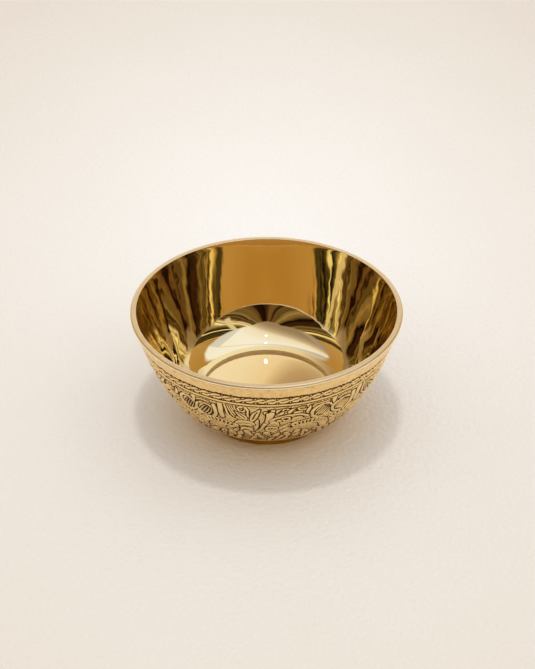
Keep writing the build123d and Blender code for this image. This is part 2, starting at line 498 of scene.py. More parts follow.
def leaf(sheet, places, half_width, slit=0):
    """A pointed leaf. It can have a vein of half-width slit, cut down most of its middle."""
    curve = curve_through(places)
    stroke(sheet, curve, half_width, taper=leaf_taper)
    if slit:
        cut_line(sheet, curve[int(len(curve) * 0.22):int(len(curve) * 0.8)], slit)


def closed_ring(sheet, center, half_axes, half_width, swell=0.0):
    """An oval ring about (azimuth, distance down). It is (1 + swell) times as wide on its left."""
    angle = np.linspace(0, 2 * np.pi, 49)
    places = np.stack([center[0] + half_axes[0] / degree * np.cos(angle),
                       center[1] + half_axes[1] * np.sin(angle)], -1)
    stroke(sheet, places * [degree, 1], half_width,
           taper=lambda share: 1 + swell * 0.5 * (1 - np.cos(2 * np.pi * share)))


def fan(sheet, first, last, count, half_width):
    """Parallel tendrils that blend from one curve to another."""
    first, last = np.asarray(first, float), np.asarray(last, float)
    for share in np.linspace(0, 1, count):
        stem(sheet, first + (last - first) * share, half_width, taper=tail_taper)


# %% [markdown]
# ## The ornament
# The pattern is a common scroll-and-leaf ornament that repeats round the bowl: two oval rings with small
# leaves, a plain upright band, a fan of feather strokes, split leaves on a wavy stem, a smooth three-lobed
# leaf, and a stem with a curl and an open ring. Under them runs a garland like a ladder, then two loose rows
# of curled leaves down to the plain shoulder. Places are given as azimuth in degrees and millimetres down
# the wall, as they lie on the side that faces the viewer.

# %% Width of a repeat
repeat_start = -44.0
repeat_width = 65.0


# %% Rings
def carve_rings(sheet):
    """Two oval rings filled with slanted strokes, the bud between them and the upright band beside them."""
    closed_ring(sheet, (-39.1, 21.2), (3.75, 4.6), 0.55, swell=0.35)
    fan(sheet, [(-41.6, 23.2), (-40.2, 20.6), (-38.6, 18.4)],
        [(-37.8, 24.2), (-36.6, 22.4), (-35.8, 20.8)], 4, 0.34)
    closed_ring(sheet, (-29.3, 21.6), (4.2, 4.5), 0.55)
    fan(sheet, [(-32.4, 23.0), (-31.0, 20.8), (-28.8, 18.8)],
        [(-28.6, 24.8), (-27.0, 22.8), (-26.0, 20.0)], 4, 0.38)
    stem(sheet, [(-24.5, 16.4), (-24.1, 19.8), (-24.5, 23.0), (-25.9, 25.4)], 0.82)
    stem(sheet, [(-34.6, 18.2), (-34.5, 16.4), (-34.5, 15.2)], 1.0, taper=drop_taper)
    stem(sheet, [(-32.6, 15.9), (-30.0, 14.9), (-26.8, 15.0)], 0.42)
    stem(sheet, [(-43.4, 15.0), (-40.6, 15.3), (-37.2, 15.2)], 0.42)
    for place in [(-36.2, 16.9), (-32.2, 17.4), (-25.6, 15.9), (-29.6, 16.5), (-39.0, 16.1),
                  (-22.2, 24.4), (-20.6, 24.5)]:
        drill(sheet, place, 0.42)
    stem(sheet, [(-21.2, 15.2), (-21.2, 23.3)], 1.05, crown=-0.13, roundness=0.0)


# %% Leaves
def carve_leaves(sheet):
    """A feathered leaf, a bud, two split leaves on a stem, and the smooth three-lobed leaf."""
    stem(sheet, [(-18.7, 14.6), (-18.4, 18.0), (-17.9, 21.0), (-16.6, 22.9), (-14.6, 24.0)], 0.42)
    fan(sheet, [(-17.3, 15.0), (-16.6, 18.6), (-15.0, 22.2)],
        [(-14.2, 14.9), (-14.0, 16.4), (-13.4, 17.6)], 4, 0.42)
    closed_ring(sheet, (-11.2, 16.2), (1.3, 1.45), 0.4)
    stem(sheet, [(-9.6, 14.8), (-8.5, 16.8), (-8.8, 19.4), (-8.7, 22.0), (-8.9, 25.0)], 0.44)
    leaf(sheet, [(-9.4, 23.6), (-11.4, 20.9), (-14.4, 17.9)], 1.2, slit=0.32)
    leaf(sheet, [(-7.4, 24.8), (-5.6, 20.2), (-2.9, 15.1)], 1.45, slit=0.32)
    leaf(sheet, [(-5.2, 31.0), (-4.9, 27.0), (-4.1, 22.4)], 1.1)
    drill(sheet, (-4.5, 22.3), 0.4)
    stem(sheet, [(1.2, 22.6), (-0.8, 26.6), (-2.4, 30.0), (-5.0, 34.0)], 0.95, taper=tail_taper)
    stem(sheet, [(1.1, 19.4), (0.1, 18.3), (-0.5, 17.5)], 0.8)
    stem(sheet, [(1.7, 19.6), (2.5, 17.6), (2.8, 16.3)], 0.85)
    stem(sheet, [(0.3, 24.6), (1.2, 21.8), (1.7, 18.6)], 1.5, taper=lambda share: 0.7 + 0.3 * share)
    cut_line(sheet, curve_through([(0.9, 17.6), (0.9, 15.8)]), 0.4)
    stem(sheet, [(-14.9, 27.6), (-13.4, 25.8), (-10.4, 25.2), (-7.6, 25.8), (-6.6, 27.4)], 1.0)
    stem(sheet, [(-13.3, 28.2), (-10.4, 27.6), (-7.8, 28.2)], 0.85, crown=-0.1)
    for azimuth in np.linspace(-13.2, -7.6, 6):
        drill(sheet, (azimuth, 29.4), 0.36)
    stem(sheet, [(-12.7, 33.2), (-12.0, 31.2), (-9.9, 30.6), (-8.0, 31.2), (-7.4, 33.0)], 0.85)
    stem(sheet, [(-11.2, 33.6), (-9.9, 33.0), (-8.6, 33.6)], 0.75, crown=-0.1)


# %% Stem with a curl
def carve_scrolls(sheet):
    """The stem that runs to the right, with a curl, an open ring and small leaves on either side."""
    stem(sheet, [(1.8, 24.2), (3.4, 22.5), (5.4, 21.3), (9.0, 20.2), (13.0, 20.1), (16.4, 20.7),
                 (19.4, 22.6)], 0.58)
    closed_ring(sheet, (9.2, 22.7), (1.5, 1.35), 0.46)
    drill(sheet, (9.2, 22.6), 0.6)
    leaf(sheet, [(1.4, 25.4), (3.8, 25.2), (6.2, 27.6)], 1.15)
    closed_ring(sheet, (8.5, 16.4), (1.05, 0.95), 0.4)
    drill(sheet, (8.5, 16.4), 0.4)
    leaf(sheet, [(7.5, 17.2), (6.4, 18.6), (4.6, 19.2)], 0.7)
    leaf(sheet, [(4.2, 17.6), (5.2, 16.2), (6.8, 15.3)], 0.6)
    leaf(sheet, [(9.9, 18.8), (11.2, 16.9), (12.9, 15.4)], 0.85)
    leaf(sheet, [(12.3, 18.8), (14.6, 18.5), (17.0, 18.9)], 0.7)
    stem(sheet, [(17.8, 17.2), (15.6, 17.2), (14.4, 16.2), (15.2, 15.2),
                 (17.2, 15.2)], 0.5, taper=tail_taper)
    leaf(sheet, [(18.6, 20.2), (19.5, 17.8), (19.9, 15.2)], 0.7)
    leaf(sheet, [(12.2, 23.6), (14.6, 22.4), (17.2, 23.0)], 0.75)
    leaf(sheet, [(4.6, 24.0), (6.2, 23.6), (7.2, 24.6)], 0.6)
    for place in [(11.3, 18.7), (13.4, 16.9), (18.4, 16.2), (11.6, 22.0), (18.4, 24.2), (10.6, 15.2)]:
        drill(sheet, place, 0.42)


# %% Garland
def carve_garland(sheet):
    """The ladder-like garland, and the leaves that hang between its ends."""
    stem(sheet, [(-35.0, 34.2), (-32.2, 29.8), (-28.4, 27.9), (-24.0, 27.5), (-20.0, 28.4), (-16.4, 29.6)],
         1.9, slots=11, roundness=0.04)
    stem(sheet, [(13.2, 28.3), (17.0, 27.7), (21.0, 27.6), (25.0, 28.2), (28.2, 30.2), (30.0, 34.0)],
         1.9, slots=11, roundness=0.04)
    leaf(sheet, [(11.8, 28.4), (13.8, 27.2), (16.4, 26.0)], 0.8)
    cut_line(sheet, curve_through([(12.0, 28.9), (12.8, 30.5)]), 0.42)
    leaf(sheet, [(6.2, 31.0), (8.8, 28.8), (11.8, 26.2)], 0.95, slit=0.2)
    leaf(sheet, [(6.6, 34.4), (9.4, 32.2), (12.0, 30.6)], 1.0, slit=0.2)
    closed_ring(sheet, (2.6, 30.8), (2.3, 2.0), 0.48, swell=0.2)
    drill(sheet, (2.6, 30.6), 0.5)
    leaf(sheet, [(-20.8, 33.4), (-18.6, 31.4), (-15.4, 30.2)], 0.95, slit=0.2)
    leaf(sheet, [(-17.8, 35.0), (-15.6, 33.2), (-14.4, 31.4)], 0.8, slit=0.2)


# %% Curled leaves
def carve_petals(sheet):
    """Two loose rows of curled leaves. Each has its own seeded lean, length and swell, as cut by eye, and
    a few are split by a vein."""
    rng = np.random.default_rng(8)
    for first, last, count, half_width in ((34.8, 39.6, 13, 1.5), (39.4, 44.0, 14, 1.35)):
        pitch = repeat_width / count
        for azimuth in repeat_start + pitch * (np.arange(count) + rng.uniform(-0.15, 0.15, count)):
            lean = rng.choice([-1, 1]) * rng.uniform(1.2, 2.6)
            low, high = last + rng.uniform(-0.5, 0.4), first + rng.uniform(-0.6, 0.6)
            shape = leaf_taper if rng.random() < 0.6 else drop_taper
            curve = curve_through([(azimuth - lean, low), (azimuth - lean * 0.1, (low + high) / 2),
                                   (azimuth + lean * 0.6, high)])
            stroke(sheet, curve, half_width * rng.uniform(0.85, 1.15), taper=shape, roundness=0.14)
            if rng.random() < 0.45:
                cut_line(sheet, curve[5:-6], 0.22)
            if rng.random() < 0.5:
                drill(sheet, (azimuth + pitch / 2, high + 0.6), 0.42)


# %% [markdown]
# ## The engraved field
# Five repeats go round the bowl. The engraver set out the first by eye and shared the rest of the turn
# among the other four, so those are a little wider, and no two are quite alike. Each repeat is a closed
# slab: a fine relief in front, a coarse back that lies in the wall's pocket, and sides between them.

# %% Sizes of the field
repeats = 5
fine_columns = 432
fine_rows = 208
columns_per_step = 8
rows_per_step = 8
other_width = (360 - repeat_width) / (repeats - 1)
hand_drift = 0.22
punch_depth = 0.13
punch_pitch = 0.74
# Painted shade: the lower rows of the engraving are darkened by up to this much, from 31 to 43 mm down, for
# the shade the relief takes from the shadowed table under it.
painted_shade_most = 0.32
painted_shade_from = 31.0
painted_shade_to = 43.0
print(f"{repeats} repeats: one of {repeat_width:.1f} degrees, the others of {other_width:.1f}")


# %% Ground and patina
def wander(x, y, seed):
    """A slow random drift: the sum of a few sine waves with seeded directions and phases, from -1 to 1."""
    rng = np.random.default_rng(seed)
    total = np.zeros_like(x)
    for length in (23.0, 13.0, 7.0):
        turn, phase = rng.uniform(0, 2 * np.pi, 2)
        total += np.sin((x * math.cos(turn) + y * math.sin(turn)) * 2 * np.pi / length + phase) / 3
    return total


def punch_marks(x, y, pitch, seed):
    """Pits on a loose grid: in each cell one round dent, shifted and sized at random. From 0 to 1."""
    rng = np.random.default_rng(seed)
    size = 256
    shift_x, shift_y = rng.uniform(-0.3, 0.3, (2, size, size))
    radius = rng.uniform(0.28, 0.5, (size, size))
    cell_x, cell_y = np.floor(x / pitch).astype(int), np.floor(y / pitch).astype(int)
    i, j = cell_x % size, cell_y % size
    away = np.hypot(x / pitch - cell_x - 0.5 - shift_x[i, j], y / pitch - cell_y - 0.5 - shift_y[i, j])
    return np.clip(1 - (away / radius[i, j]) ** 2, 0, 1)


def soften(height, steps):
    """Mean of a sheet over a square of 2 x steps + 1 points, from running sums along both directions."""
    size = 2 * steps + 1
    for axis in (0, 1):
        padded = np.concatenate([np.repeat(height.take([0], axis), steps + 1, axis), height,
                                 np.repeat(height.take([-1], axis), steps, axis)], axis)
        total = np.cumsum(padded, axis)
        count = height.shape[axis]
        height = (total.take(range(size, size + count), axis) - total.take(range(count), axis)) / size
    return height


def tarnish(height):
    """How much dark patina stays. Crowns are rubbed bare, the ground keeps a tenth, cut lines are black, and
    places lower than their surroundings hold a little more."""
    depth = np.interp(-height, [0.03, -ground_level, 0.8 * -cut_level], [0.0, 0.1, 1.0])
    hollow = np.clip((soften(height, 4) - height) / 0.3, -0.2, 0.5)
    return np.clip(depth + 0.18 * hollow, 0, 1)


def carve_field(x, y, seed):
    """Heights of one repeat over its own places x, y in millimetres: punched ground, then the ornament."""
    sheet = {
        "x": x + hand_drift * wander(x, y, seed),
        "y": y + hand_drift * wander(x, y, seed + 1),
        "height": np.full(x.shape, ground_level),
        "period": repeat_width * degree,
    }
    sheet["height"] -= punch_depth * punch_marks(sheet["x"], sheet["y"], punch_pitch, 5)
    for carve in (carve_rings, carve_leaves, carve_scrolls, carve_garland, carve_petals):
        carve(sheet)
    height = sheet["height"] + 0.012 * wander(x * 3, y * 3, seed + 2)
    height *= smooth_step(field_bottom - 0.4, field_bottom - 2.2, y)
    return np.minimum(height, 0.04)


# %% One panel
def field_panel(name, start, width, seed):
    """A slab over width degrees of azimuth. Rows of points run down the wall, columns run to the right."""
    azimuth = np.linspace(0, 1, fine_columns + 1)
    distance = np.linspace(field_top, field_bottom, fine_rows + 1)
    share, down = np.meshgrid(azimuth, distance)
    height = carve_field((repeat_start + share * repeat_width) * degree, down, seed)
    height[0] = ground_level
    angle = np.radians(start + share * width)

    def at(rows, columns, lift):
        """Points of the slab on the wall's outer face, lifted along its normal."""
        radius, level, tilt = outer_face(down[rows][:, columns])
        radius, level = radius + lift * np.sin(tilt), level - lift * np.cos(tilt)
        turn = angle[rows][:, columns]
        return np.stack([radius * np.sin(turn), -radius * np.cos(turn), level], -1)

    every_row, every_column = np.arange(fine_rows + 1), np.arange(fine_columns + 1)
    back_rows, back_columns = every_row[::rows_per_step], every_column[::columns_per_step]
    front = at(every_row, every_column, height)
    back = at(back_rows, back_columns, inlay_back)
    points = np.concatenate([front.reshape(-1, 3), back.reshape(-1, 3)])

    front_index = np.arange(front.shape[0] * front.shape[1]).reshape(front.shape[:2])
    back_index = front_index.size + np.arange(back.shape[0] * back.shape[1]).reshape(back.shape[:2])

    def cells(index, outwards):
        """Four-cornered faces of a grid of point numbers."""
        a, b, c, d = index[:-1, :-1], index[1:, :-1], index[1:, 1:], index[:-1, 1:]
        order = (a, b, c, d) if outwards else (a, d, c, b)
        return np.stack(order, -1).reshape(-1, 4)

    def side(fine, coarse, step):
        """Faces between a fine edge and a coarse one: a run of step fine points and two coarse ones."""
        runs = np.stack([fine[k:len(fine) - step + k:step] for k in range(step + 1)], -1)
        return np.concatenate([runs, coarse[1:, None], coarse[:-1, None]], -1)

    polygons = [
        cells(front_index, True),
        cells(back_index, False),
        side(front_index[0], back_index[0], columns_per_step),
        side(front_index[-1, ::-1], back_index[-1, ::-1], columns_per_step),
        side(front_index[::-1, 0], back_index[::-1, 0], rows_per_step),
        side(front_index[:, -1], back_index[:, -1], rows_per_step),
    ]
    share_uv = np.stack([share, (down - field_top) / (field_bottom - field_top)], -1)
    flat_uv = np.concatenate([
        (share_uv * [1.0, 0.86]).reshape(-1, 2),
        (share_uv[back_rows][:, back_columns] * [0.9, 0.1] + [0.05, 0.88]).reshape(-1, 2)])
    corner_uv = [flat_uv[p] for p in polygons]
    for k in range(2, 6):
        strip = (np.arange(len(polygons[k])) + 0.5) / len(polygons[k])
        corner_uv[k] = np.stack([np.repeat(strip[:, None], polygons[k].shape[1], 1),
                                 np.full(polygons[k].shape, 0.984 + 0.004 * (k - 2))], -1)
    panel = new_piece(name, points, polygons, corner_uv, flat=(1, 2, 3, 4, 5))
    # Painted shade, darker towards the bottom of the field, is added to the patina kept with the mesh.
    painted_low_shade = painted_shade_most * smooth_step(painted_shade_from, painted_shade_to, down)
    patina_and_painted_shade = np.clip(tarnish(height) + painted_low_shade, 0, 1)
    add_patina_and_shade(panel, np.concatenate([patina_and_painted_shade.ravel(), np.ones(back.shape[0] * back.shape[1])]))
    return panel


def add_patina_and_shade(piece, values):
    """Keeps one number per point, which the finish reads as the amount of dark patina; on the field panels it
    also holds painted shade, darker towards the bottom.
    """
    layer = piece.data.attributes.new("patina", "FLOAT", "POINT")
    layer.data.foreach_set("value", values.astype(np.float32))


# %% Five panels
starts = repeat_start + np.concatenate([[0], repeat_width + other_width * np.arange(repeats - 1)])
widths = [repeat_width] + [other_width] * (repeats - 1)
field_panels = [
    field_panel(f"field_panel_{k + 1}", start, width, seed=10 * k)
    for k, (start, width) in enumerate(zip(starts, widths))
]
print("field:", [len(p.data.polygons) for p in field_panels], "faces")

# %% [markdown]
# ## The plain band and the frieze
# Under the lip runs a plain band. Below it comes a narrow frieze: a braid of two strands between cut lines,
# with a dot above and below each crossing, and a smooth bead under it. Band and frieze are one ring, drawn
# on a grid all the way round. Each loop of the braid swings by its own seeded amount, so that the row
# doesn't tick like a gear.

# %% Frieze heights
frieze_columns = 2016
braid_loops = 74
braid_swing = 0.88
braid_half = 0.64
frieze_radius = 54.5
frieze_top = 7.5
frieze_middle = 9.7
bead_middle = 12.55
bead_half = 0.6
lower_line = 13.75
band_patina = 0.2


def carve_frieze(turn_share, down):
    """Heights of band and frieze from the share of a turn and the distance down the wall. Two strands swing
    against each other as sine waves and take turns to lie on top, with a drilled eye in every loop."""
    rng = np.random.default_rng(21)
    drift = 0.14 * np.sin(turn_share * 2 * np.pi * 23) + 0.1 * np.sin(turn_share * 2 * np.pi * 61 + 1)
    loop_length = 2 * np.pi * frieze_radius / braid_loops
    place = turn_share * braid_loops + 0.5 * drift
    loop = np.round(place).astype(int) % braid_loops
    v = down - frieze_middle - 0.5 * drift
    height = np.full(v.shape, ground_level) - 0.2 * punch_marks(place * loop_length, down, 0.7, 3)
    swing = braid_swing * rng.uniform(0.86, 1.14, braid_loops)[np.floor(place).astype(int) % braid_loops]
    steepness = np.pi / loop_length * swing * np.cos(np.pi * place)
    strands = [np.abs(v - sign * swing * np.sin(np.pi * place)) / np.hypot(1, steepness) - braid_half
               for sign in (1, -1)]
    first_over, second_over = (
        lay(lay(height, strands[under], crown_level - 0.04), strands[over], crown_level)
        for under, over in ((1, 0), (0, 1)))
    height = np.where(loop % 2 == 0, second_over, first_over)
    eye = np.hypot((place - np.floor(place) - 0.5) * loop_length, v)
    height += (cut_level - height) * smooth_step(0.42, 0.24, eye)
    dot = np.hypot((place - np.round(place)) * loop_length, np.abs(v) - 1.3) - 0.36
    height = lay(height, dot, crown_level - 0.03)

    bead = np.abs(down - bead_middle + 0.2 * drift) - bead_half
    height = lay(height, bead, crown_level - 0.06 * np.clip(bead / bead_half + 1, 0, 1) ** 2, line=0.3)
    dashes = 0.6 + 0.4 * np.cos(turn_share * 2 * np.pi * 236 + 5 * drift)
    line = np.exp(-(((down - lower_line) / 0.24) ** 2)) * np.clip(dashes, 0.25, 1)
    height += (cut_level - height) * line

    teeth = 0.12 * np.cos(2 * np.pi * (2 * place + 0.5)) + 0.08 * np.sin(2 * np.pi * 3 * place)
    border = down - frieze_top - drift - teeth
    swell = 0.3 + 0.14 * np.sin(turn_share * 2 * np.pi * 17) + 0.08 * np.sin(turn_share * 2 * np.pi * 41 + 2)
    cut = smooth_step(-0.5, -0.22, border) * smooth_step(swell + 0.25, swell - 0.1, border)
    height += (cut_level - height) * cut
    plain = smooth_step(-0.3, -0.5, border)
    return height * (1 - plain)


# %% Frieze ring
frieze_rows = np.concatenate([np.linspace(band_top, frieze_top - 1.1, 4),
                              np.linspace(frieze_top - 0.95, field_top, 42)])
frieze_turn, frieze_down = np.meshgrid(np.arange(frieze_columns) / frieze_columns, frieze_rows, indexing="ij")
frieze_height = carve_frieze(frieze_turn, frieze_down)
frieze_height[:, -1] = ground_level
frieze_face = on_outside(frieze_down, frieze_height)
frieze_back = on_outside(np.array([field_top, band_top]), inlay_back)
frieze_back = np.repeat(frieze_back[None], frieze_columns, 0)
frieze_face = np.concatenate([frieze_face, frieze_back], 1)
frieze_ring = carry_round("frieze_ring", frieze_face[..., 0], frieze_face[..., 1], sharp_angle=80)
band_tone = band_patina * smooth_step(frieze_top, frieze_top - 0.8, frieze_down)
frieze_patina = np.concatenate([tarnish(frieze_height) + band_tone, np.ones((frieze_columns, 2))], 1)
add_patina_and_shade(frieze_ring, frieze_patina.ravel())
print("frieze:", len(frieze_ring.data.polygons), "faces")

# %% Shoulder ring
shoulder_face = on_outside(np.linspace(field_bottom, outer_length, 16))
shoulder_inner = opening_radius + 1.0
shoulder_thickness = 0.9
shoulder_patina = 0.12
underside = [[shoulder_inner, flange_bottom], [shoulder_inner, flange_bottom + shoulder_thickness]]
shoulder_back = on_outside(np.array([outer_length, field_bottom]), inlay_back)
shoulder_section = np.concatenate([shoulder_face, underside, shoulder_back])
shoulder_ring = turned("shoulder_ring", shoulder_section, count=360)
add_patina_and_shade(shoulder_ring, np.full(len(shoulder_ring.data.vertices), shoulder_patina))
print("shoulder:", len(shoulder_ring.data.polygons), "faces")

# %% [markdown]
# ## Brass
# Bare brass is a metal: its colour tints what it reflects, so the shader is metallic and the base colour is
# the tint. What differs from piece to piece is how it was finished, but the foot's tint is painted far darker
# than plain brass, as painted shade. Polished brass has slow waves from the lathe and hair-fine rings. The
# engraving keeps dark patina where the polishing cloth can't reach, and its lower rows are darkened further
# with painted shade. All the patterns are measured on the object itself.


# %% Node helpers
class Graph:
    """Adds nodes to a node tree. What goes into a node is another node's output, a number or a colour."""

    def __init__(self, tree):
        self.nodes, self.links = tree.nodes, tree.links

    def fill(self, node, inputs):
        """Links outputs to a node's inputs, or writes plain values into them."""
        for key, value in inputs.items():
            socket = node.inputs[key]
            if isinstance(value, bpy.types.NodeSocket):
                self.links.new(value, socket)
            elif socket.type == "RGBA":
                socket.default_value = (*value, 1)
            else:
                socket.default_value = value

    def add(self, kind, output, inputs, **settings):
        """A new node with its settings and inputs. Returns one of its outputs."""
        node = self.nodes.new("ShaderNode" + kind)
        for name, value in settings.items():
            setattr(node, name, value)
        self.fill(node, inputs)
        return node.outputs[output]

    def place(self, kind="Object"):
        """Coordinates of the shaded point: in metres on the object, or a direction for the world."""
        return self.add("TexCoord", kind, {})

    def parts(self, vector):
        """The x, y and z of a vector."""
        node = self.nodes.new("ShaderNodeSeparateXYZ")
        self.links.new(vector, node.inputs["Vector"])
        return tuple(node.outputs)

    def math(self, operation, *values):
        """A sum or another operation on numbers."""
        return self.add("Math", "Value", dict(enumerate(values)), operation=operation)

    def vector(self, operation, output, *values):
        """An operation on vectors."""
        return self.add("VectorMath", output, dict(enumerate(values)), operation=operation)

    def noise(self, scale, stretch=(1, 1, 1), detail=3.0):
        """Noise on the object. stretch squeezes the pattern along each axis."""
        place = self.add("Mapping", "Vector", {"Vector": self.place(), "Scale": stretch})
        return self.add("TexNoise", "Fac", {"Vector": place, "Scale": scale, "Detail": detail})

    def span(self, value, low, high, from_low=0.0, from_high=1.0):
        """Maps a number from one range to another."""
        return self.add("MapRange", "Result", {
            "Value": value, "From Min": from_low, "From Max": from_high, "To Min": low, "To Max": high})

    def ramp(self, value, stops):
        """A colour ramp from (position, colour) stops."""
        node = self.nodes.new("ShaderNodeValToRGB")
        elements = node.color_ramp.elements
        while len(elements) < len(stops):
            elements.new(0.5)
        for element, (position, colour) in zip(elements, stops):
            element.position = position
            element.color = (*colour, 1)
        self.links.new(value, node.inputs["Fac"])
        return node.outputs["Color"]

    def ramp_over(self, value, low, high, stops):
        """A colour ramp over a stretch of values, with its stops at such values."""
        share = self.span(value, 0.0, 1.0, low, high)
        return self.ramp(share, [((s - low) / (high - low), colour) for s, colour in stops])

    def blend(self, factor, first, second, how="MIX"):
        """A mix of two colours."""
        return self.add("Mix", "Result", {"Factor": factor, "A": first, "B": second},
                        data_type="RGBA", blend_type=how)

    def bumps(self, *layers):
        """The normal bent by bumps, one after another, each (height, distance in metres)."""
        normal = {}
        for height, distance in layers:
            inputs = {"Strength": 1.0, "Distance": distance, "Height": height, **normal}
            normal = {"Normal": self.add("Bump", "Normal", inputs)}
        return normal["Normal"]


def new_finish(name):
    """A new material with a principled shader. Returns the material, its graph and the shader."""
    material = bpy.data.materials.new(name)
    material.use_nodes = True
    return material, Graph(material.node_tree), material.node_tree.nodes["Principled BSDF"]


# %% Polished brass
satin_roughness = 0.8
still_within = 14 * MM
swell_from = 40 * MM


def polished_brass(name, tints, roughness, rings_depth, swell_depth, satin_below=None, mirror_within=None):
    """Brass from the polishing wheel. Slow noise shifts its tint and gloss, noise that only changes with
    height gives the lathe's rings, and a slow swell bends the reflections towards the sides. Below one
    height it can be satin, and within one radius a mirror."""
    material, graph, shader = new_finish(name)
    x, y, z = graph.parts(graph.place())
    clouds = graph.noise(60.0, detail=4.0)
    haze = graph.noise(900.0, stretch=(0.25, 0.25, 1.0))
    rings = graph.noise(260.0, stretch=(0.02, 0.02, 1.0), detail=2.0)
    swell = graph.math("MULTIPLY", graph.noise(85.0, stretch=(1.0, 1.0, 0.7), detail=2.0),
                       graph.span(graph.math("ABSOLUTE", x), 0.0, 1.0, still_within, swell_from))
    rough = graph.span(haze, *roughness, 0.35, 0.7)
    if satin_below is not None:
        satin = graph.span(z, satin_roughness, 0.0, satin_below - 0.03 * MM, satin_below)
        rough = graph.math("MAXIMUM", rough, satin)
    if mirror_within is not None:
        reach = graph.vector("LENGTH", "Value", graph.add("CombineXYZ", "Vector", {"X": x, "Y": y}))
        dull = graph.span(reach, 0.15, 1.0, mirror_within, mirror_within + 0.2 * MM)
        rough = graph.math("MULTIPLY", rough, dull)
    graph.fill(shader, {
        "Metallic": 1.0, "Roughness": rough,
        "Base Color": graph.ramp(clouds, list(zip((0.3, 0.7), tints))),
        "Normal": graph.bumps((rings, rings_depth), (swell, swell_depth))})
    return material


wall_mirror = polished_brass("wall_mirror", [(0.92, 0.81, 0.55), (0.95, 0.845, 0.60)], (0.02, 0.05),
                             0.15e-5, 2.5e-4, satin_below=flange_top * MM)
floor_mirror = polished_brass("floor_mirror", [(0.945, 0.81, 0.595), (0.975, 0.84, 0.625)], (0.05, 0.1),
                              0.1e-5, 0.4e-4)
lip_brass = polished_brass("lip_brass", [(0.97, 0.84, 0.57), (0.99, 0.87, 0.62)], (0.32, 0.4),
                           1.0e-5, 4.0e-5, mirror_within=rim_inner * MM)
# Painted shade: the foot's tint is far darker than plain brass, for the shade under the bowl that the foot
# faces and reflects.
foot_brass = polished_brass("foot_brass", [(0.41, 0.215, 0.016), (0.53, 0.30, 0.035)], (0.16, 0.3),
                            3.0e-5, 6.0e-5)
braze = polished_brass("braze", [(0.86, 0.72, 0.44), (0.90, 0.76, 0.49)], (0.06, 0.14), 2.0e-5, 4.0e-5)
print("polished finishes:", [m.name for m in (wall_mirror, floor_mirror, lip_brass, foot_brass, braze)])

# %% Engraved brass
patina_colours = [
    (0.06, (0.985, 0.71, 0.31)), (0.3, (0.87, 0.60, 0.24)), (0.52, (0.25, 0.14, 0.04)),
    (0.78, (0.04, 0.021, 0.007))]


def engraved_brass(name):
    """Brass rubbed bright on its crowns. The patina kept with the mesh darkens and dulls the hollows, and
    noise breaks its edge up, as rubbing does. In the lower rows of the field that number also holds painted
    shade."""
    material, graph, shader = new_finish(name)
    kept = graph.add("Attribute", "Fac", {}, attribute_type="GEOMETRY", attribute_name="patina")
    blotches = graph.noise(420.0, detail=4.0)
    grain = graph.noise(2600.0, detail=2.0)
    patina = graph.math("MULTIPLY_ADD", graph.span(blotches, -0.14, 0.16, 0.3, 0.7), 1.0, kept)
    graph.fill(shader, {
        "Base Color": graph.ramp(patina, patina_colours),
        "Roughness": graph.span(patina, 0.22, 0.6),
        "Metallic": graph.span(patina, 1.0, 0.55, 0.3, 0.9),
        "Specular IOR Level": 0.25,
        "Normal": graph.bumps((blotches, 3.0e-5), (grain, 1.2e-5))})
    return material


relief_brass = engraved_brass("relief_brass")
print("engraved finish:", relief_brass.name)

# %% [markdown]
# ## Dress the frame
# Each visual piece takes the place of its CAD node, which is hidden, and all of them hang on one body empty.
# The brazed seams keep their CAD shape and only get a finish.

# %% Pieces onto the frame
dressed = [
    (wall_body, wall_mirror, "wall_shell", "engraved_brass"),
    (lip_hoop, lip_brass, "lip_ring", "polished_brass"),
    (floor_plate, floor_mirror, "floor_disc", "polished_brass"),
    (foot_hoop, foot_brass, "foot_ring", "foot_brass"),
    (frieze_ring, relief_brass, "wall_shell", "engraved_brass"),
    (shoulder_ring, relief_brass, "wall_shell", "engraved_brass"),
]
dressed += [(panel, relief_brass, "wall_shell", "engraved_brass") for panel in field_panels]
for piece, finish, node, slot in dressed:
    piece.data.materials.append(finish)
    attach(piece, "root")
    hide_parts(node)
for node in ("lip_braze", "floor_braze", "foot_braze"):
    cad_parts[node].data.materials.clear()
    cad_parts[node].data.materials.append(braze)
print("dressed:", len(dressed), "pieces")

# %% [markdown]
# ## The table
# The bowl stands on a plain pale table that fills the picture. Its colour is painted with a pool of light,
# palest a little behind the bowl and darker outwards; a faint mottle keeps it from looking like empty space,
# and painted warm shade darkens it round the foot.

# %% Table
table_half = 2.5
table_mesh = bpy.data.meshes.new("table")
table_mesh.from_pydata(
    [(-table_half, -table_half, 0), (table_half, -table_half, 0), (table_half, table_half, 0),
     (-table_half, table_half, 0)], [], [(0, 1, 2, 3)])
table = bpy.data.objects.new("table", table_mesh)
bpy.context.collection.objects.link(table)
table_finish, graph, shader = new_finish("pale_table")
place = graph.place()
# Painted light: the table's colour is palest a little behind the bowl and darker outwards, a painted pool of
# light, with a faint noise mottle on it.
painted_light_shift = (0, -0.13, 0)
from_painted_light = graph.vector("LENGTH", "Value", graph.vector(
    "MULTIPLY_ADD", "Vector", place, (1.6, 1.0, 1.0), painted_light_shift))
mottle_and_painted_light = graph.math("MULTIPLY_ADD", graph.noise(14.0, detail=5.0), 0.06, from_painted_light)
painted_light_pool = graph.ramp(mottle_and_painted_light, [
    (0.06, (0.935, 0.92, 0.90)), (0.24, (0.855, 0.815, 0.765)), (0.42, (0.775, 0.715, 0.645))])
